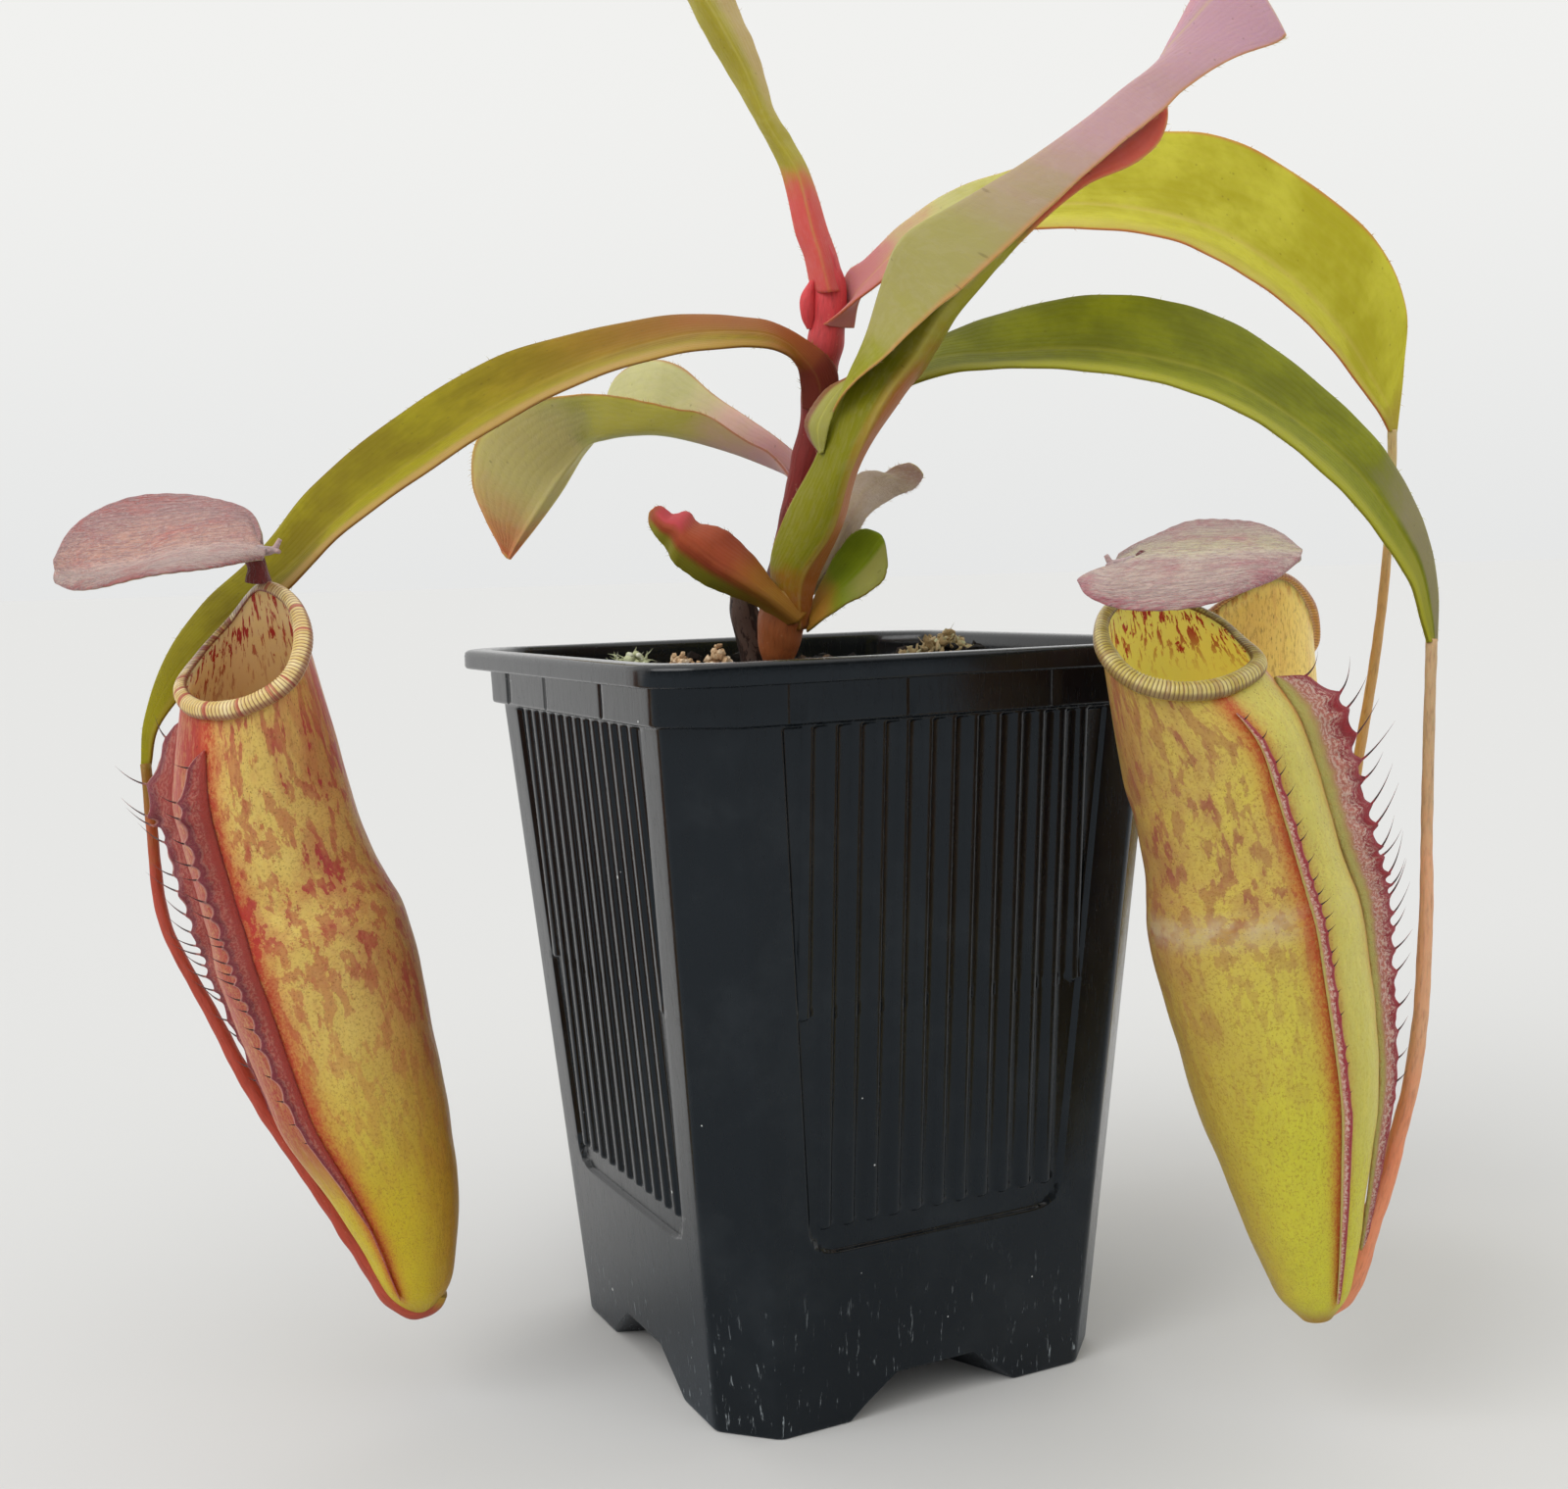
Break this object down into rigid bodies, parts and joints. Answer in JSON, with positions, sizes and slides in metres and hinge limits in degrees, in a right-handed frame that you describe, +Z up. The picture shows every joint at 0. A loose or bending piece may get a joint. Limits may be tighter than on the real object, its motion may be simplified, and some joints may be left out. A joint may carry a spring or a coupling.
{
  "type": "potted pitcher plant",
  "caption": "Tropical pitcher plant in a square ribbed nursery pot: arching leaves end in tendrils that carry hanging, lidded, hollow pitchers.",
  "frame": {"origin": "centre of the underside of the pot's feet", "axes": "+Z up; X and Y square to the pot's faces"},
  "size_m": [0.2076, 0.1415, 0.2353],
  "materials": {
    "pot_plastic": "satin black",
    "potting_mix": "loose bark and fibre",
    "moss": "dry moss",
    "woody_stem": "dark bark, red above",
    "young_shoot": "smooth, orange brown",
    "leaf_olive": "leathery leaf, olive",
    "leaf_green": "leathery leaf, green",
    "leaf_lime": "leathery leaf, yellow green",
    "leaf_blush": "felted young leaf",
    "young_leaf": "young leaf, red and green",
    "tendril": "smooth, rust red",
    "pitcher_wall": "mottled yellow and red brown",
    "pitcher_lip": "ribbed, glossy",
    "pitcher_wing": "thin, red, fringed",
    "pitcher_lid": "felted, dusty pink"
  },
  "bodies": {
    "root": {"pot": "pot_plastic", "potting_mix": "potting_mix", "moss_left": "moss", "moss_right": "moss", "main_stem": "woody_stem", "side_shoot": "young_shoot", "leaf_left": "leaf_olive", "leaf_right_low": "leaf_green", "leaf_right_high": "leaf_lime", "leaf_front": "leaf_green", "leaf_back": "leaf_blush", "leaf_top": "leaf_lime", "shoot_leaf_left": "young_leaf", "shoot_leaf_right": "leaf_green", "shoot_leaf_back": "leaf_blush", "tendril_left": "tendril", "pitcher_left": "pitcher_wall", "peristome_left": "pitcher_lip", "wing_left_a": "pitcher_wing", "wing_left_b": "pitcher_wing", "lid_left": "pitcher_lid", "tendril_right": "tendril", "pitcher_right": "pitcher_wall", "peristome_right": "pitcher_lip", "wing_right_a": "pitcher_wing", "wing_right_b": "pitcher_wing", "lid_right": "pitcher_lid", "tendril_back": "tendril", "pitcher_back": "pitcher_wall", "peristome_back": "pitcher_lip", "wing_back_a": "pitcher_wing", "wing_back_b": "pitcher_wing", "lid_back": "pitcher_lid"}
  },
  "joints": []
}
